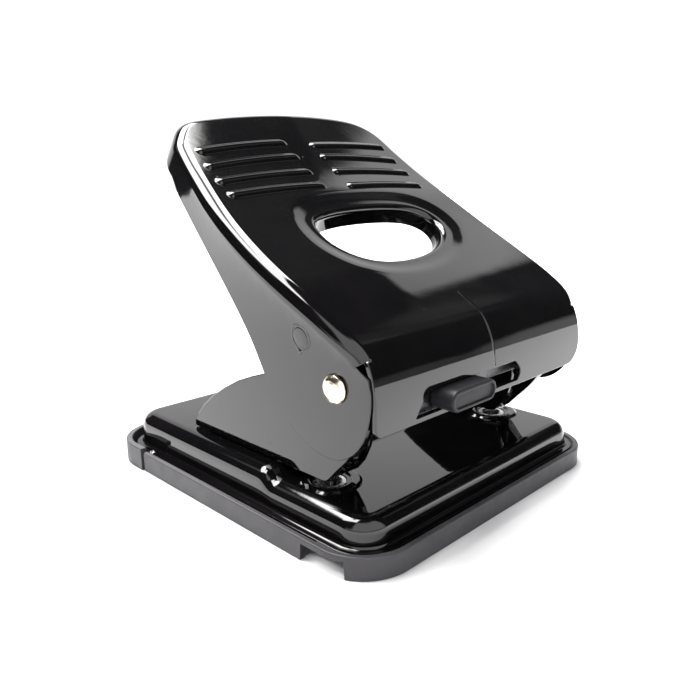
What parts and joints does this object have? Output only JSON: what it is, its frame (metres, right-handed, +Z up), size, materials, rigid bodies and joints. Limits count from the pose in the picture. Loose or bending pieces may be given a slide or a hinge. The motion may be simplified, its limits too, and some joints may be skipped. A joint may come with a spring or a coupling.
{
  "type": "two-hole punch",
  "caption": "Desk paper punch: wide pressed-steel lever with a thumb hole over bracketed punch pins, stepped steel base, hinged plastic chip tray and sliding lever lock.",
  "frame": {"origin": "centre of the overall outline, on the surface the punch stands on", "axes": "+Z up; +Y from the paper side towards the free end of the lever; +X along the lever's pivot line, to the right for a user facing the paper side"},
  "size_m": [0.1176, 0.1248, 0.1177],
  "materials": {
    "black_lacquer": "high-gloss black stove enamel",
    "tray_plastic": "satin moulded black-grey plastic",
    "bright_steel": "turned and zinc-plated steel",
    "spring_steel": "drawn spring wire",
    "nickel_plate": "bright nickel-plated rivet",
    "knob_plastic": "fine-grained black plastic"
  },
  "bodies": {
    "base": {"tray_rear_bar": "tray_plastic", "tray_hinge_pin_left": "bright_steel", "tray_hinge_pin_right": "bright_steel", "rear_bar_screw_left": "bright_steel", "rear_bar_screw_right": "bright_steel", "base_plate": "black_lacquer", "die_bush_left": "bright_steel", "die_bush_right": "bright_steel", "bracket_left": "black_lacquer", "bracket_right": "black_lacquer", "bracket_rivet_left_front": "bright_steel", "bracket_rivet_left_rear": "bright_steel", "pin_guide_left": "bright_steel", "return_spring_left": "spring_steel", "pivot_rivet_left": "nickel_plate", "pivot_washer_left": "bright_steel", "bracket_rivet_right_front": "bright_steel", "bracket_rivet_right_rear": "bright_steel", "pin_guide_right": "bright_steel", "return_spring_right": "spring_steel", "pivot_rivet_right": "nickel_plate", "pivot_washer_right": "bright_steel"},
    "tray": {"chip_tray": "tray_plastic"},
    "lever": {"handle": "black_lacquer", "drive_bar": "black_lacquer", "lock_guide": "bright_steel"},
    "lock": {"lock_button": "knob_plastic", "lock_bolt": "bright_steel"},
    "punch_left": {"punch_pin_left": "bright_steel", "spring_collar_left": "bright_steel"},
    "punch_right": {"punch_pin_right": "bright_steel", "spring_collar_right": "bright_steel"}
  },
  "joints": [
    {"name": "lever_hinge", "type": "hinge", "parent": "base", "child": "lever", "pos_m": [0, -0.0446, 0.0458], "axis": [-1, 0, 0], "range_deg": [0, 32], "stiffness_Nm_per_rad": 0.5, "springref_deg": -28.65},
    {"name": "punch_left_slide", "type": "slide", "parent": "base", "child": "punch_left", "axis": [0, 0, -1], "range_m": [0, 0.008], "deforming": ["return_spring_left"]},
    {"name": "punch_right_slide", "type": "slide", "parent": "base", "child": "punch_right", "axis": [0, 0, -1], "range_m": [0, 0.008], "deforming": ["return_spring_right"]},
    {"name": "lock_slide", "type": "slide", "parent": "lever", "child": "lock", "axis": [1, 0, 0], "range_m": [-0.004, 0.016]},
    {"name": "tray_hinge", "type": "hinge", "parent": "base", "child": "tray", "pos_m": [0, 0.0426, 0.0021], "axis": [1, 0, 0], "range_deg": [0, 40]}
  ],
  "couplings": [
    {"joint": "punch_left_slide", "follows": "lever_hinge", "m_per_rad": 0.01414},
    {"joint": "punch_right_slide", "follows": "lever_hinge", "m_per_rad": 0.01414}
  ]
}
